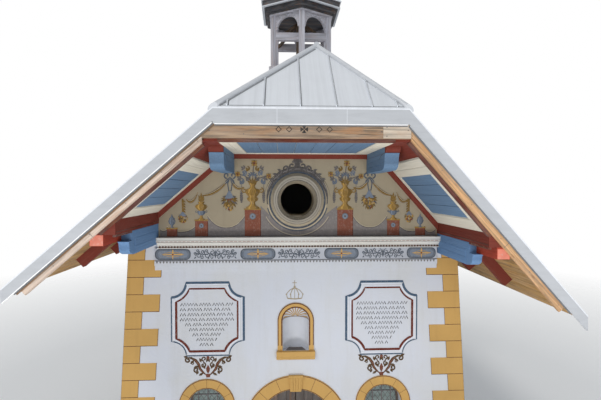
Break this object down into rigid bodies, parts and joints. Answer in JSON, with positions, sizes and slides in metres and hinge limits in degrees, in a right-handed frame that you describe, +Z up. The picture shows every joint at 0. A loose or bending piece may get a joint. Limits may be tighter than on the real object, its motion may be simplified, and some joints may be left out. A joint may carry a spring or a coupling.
{
  "type": "small chapel",
  "caption": "Small gabled chapel with a boarded overhang, half-hipped metal roof, arched door and windows, a niche, an oculus and a hexagonal belfry; the door leaves swing inwards",
  "frame": {"origin": "middle of the floor's underside, on the ground, under the axis of the door", "axes": "X to the right seen from the facade, Y from the facade to the rear wall, Z up"},
  "size_m": [7.86, 10.53, 12.006],
  "materials": {
    "plaster": "lime render",
    "paving": "worn stone",
    "ochre": "painted render",
    "moulding": "painted plaster",
    "boards_dark": "weathered boards",
    "iron": "forged",
    "glass": "leaded glass",
    "red_timber": "painted timber",
    "weathered_timber": "weathered timber",
    "grey_timber": "weathered grey timber",
    "boarding": "bare boards",
    "cream_boards": "painted boards",
    "blue_boards": "painted boards",
    "sheet_metal": "standing seam sheet",
    "gilt": "gilded"
  },
  "bodies": {
    "chapel": {"architrave": "moulding", "barge_board_left": "weathered_timber", "barge_board_right": "weathered_timber", "belfry_arches": "grey_timber", "belfry_base": "grey_timber", "belfry_beams": "grey_timber", "belfry_eaves": "grey_timber", "belfry_posts": "grey_timber", "belfry_roof": "sheet_metal", "cornice": "moulding", "cross": "gilt", "door_pintles": "iron", "door_surround": "ochre", "finial": "gilt", "floor_slab": "paving", "frieze": "moulding", "front_wall_left": "plaster", "front_wall_over_door": "plaster", "front_wall_right": "plaster", "gable_wall": "plaster", "lower_console_left": "blue_boards", "lower_console_right": "blue_boards", "niche_surround": "ochre", "oculus_moulding": "moulding", "rafters_left": "red_timber", "rafters_right": "red_timber", "rake_mouldings": "red_timber", "rear_wall": "plaster", "ridge_cap": "sheet_metal", "roof_deck_hips": "boarding", "roof_deck_left": "boarding", "roof_deck_right": "boarding", "roof_metal_hips": "sheet_metal", "roof_metal_left": "sheet_metal", "roof_metal_right": "sheet_metal", "side_wall_left": "plaster", "side_wall_right": "plaster", "soffit_flat": "cream_boards", "soffit_left": "cream_boards", "soffit_right": "cream_boards", "tie_beams": "weathered_timber", "upper_consoles": "blue_boards", "upper_purlins": "red_timber", "verge_fascias": "sheet_metal", "wall_plate_left": "red_timber", "wall_plate_right": "red_timber", "window_panes": "glass", "window_surround_left": "ochre", "window_surround_right": "ochre"},
    "leaf_left": {"door_leaf_left": "boards_dark"},
    "leaf_right": {"door_leaf_right": "boards_dark"}
  },
  "joints": [
    {"name": "door_left", "type": "hinge", "parent": "chapel", "child": "leaf_left", "pos_m": [-0.805, -3.658, 0.96], "axis": [0, 0, 1], "range_deg": [0, 90]},
    {"name": "door_right", "type": "hinge", "parent": "chapel", "child": "leaf_right", "pos_m": [0.805, -3.658, 0.96], "axis": [0, 0, -1], "range_deg": [0, 90]}
  ]
}
